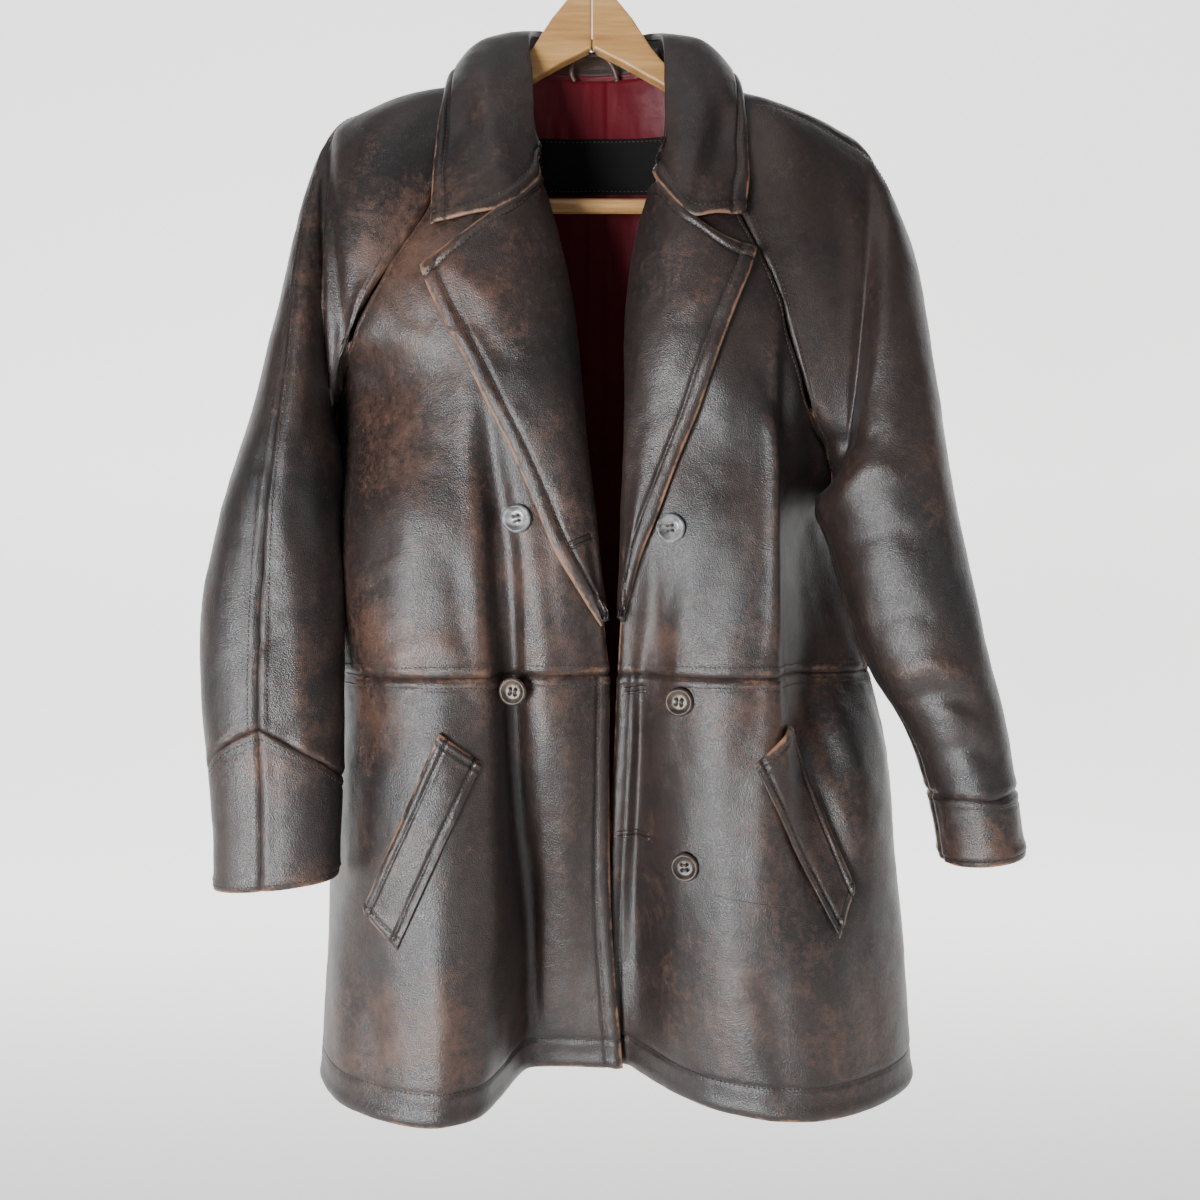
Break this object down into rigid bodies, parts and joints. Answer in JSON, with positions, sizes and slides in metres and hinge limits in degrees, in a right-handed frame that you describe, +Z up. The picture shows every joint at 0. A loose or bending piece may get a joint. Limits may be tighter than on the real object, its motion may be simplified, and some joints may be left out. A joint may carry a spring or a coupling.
{
  "type": "leather coat on a wooden hanger",
  "caption": "Worn double-breasted three-quarter leather coat with raglan sleeves, notched lapels and welt pockets, hanging open-fronted on a wooden hanger.",
  "frame": {"origin": "inside the top of the hanger's hook, where a rail or peg holds it", "axes": "+Z up, -Y towards the viewer of the coat's front, +X towards the wearer's left"},
  "size_m": [0.6846, 0.1771, 1.0235],
  "materials": {
    "leather": "worn dark brown, rubbed to reddish tan in patches, satin sheen",
    "worn_leather": "bare rubbed tan leather at folded edges",
    "satin": "wine red satin lining",
    "label": "near black woven label, left bare",
    "horn": "mottled brown and grey horn look, polished",
    "wood": "pale clear varnish",
    "steel": "bright wire"
  },
  "bodies": {
    "root": {"back_lower": "leather", "back_upper": "leather", "button_left_chest": "horn", "button_left_skirt": "horn", "button_left_waist": "horn", "button_right_chest": "horn", "button_right_waist": "horn", "collar": "leather", "collar_stand": "leather", "cuff_back_left": "leather", "cuff_back_right": "leather", "cuff_front_left": "leather", "cuff_front_right": "leather", "facing_left": "worn_leather", "facing_right": "worn_leather", "front_lower_left": "leather", "front_lower_right": "leather", "front_upper_left": "leather", "front_upper_right": "leather", "hanger_arm_left": "wood", "hanger_arm_right": "wood", "hanger_bar": "wood", "hanger_hook": "steel", "hanger_loop": "leather", "hanger_washer": "steel", "lapel_left": "leather", "lapel_right": "leather", "lining_back": "satin", "neck_label": "label", "pocket_welt_left": "leather", "pocket_welt_right": "leather", "sleeve_back_left": "leather", "sleeve_back_right": "leather", "sleeve_front_left": "leather", "sleeve_front_right": "leather"}
  },
  "joints": []
}
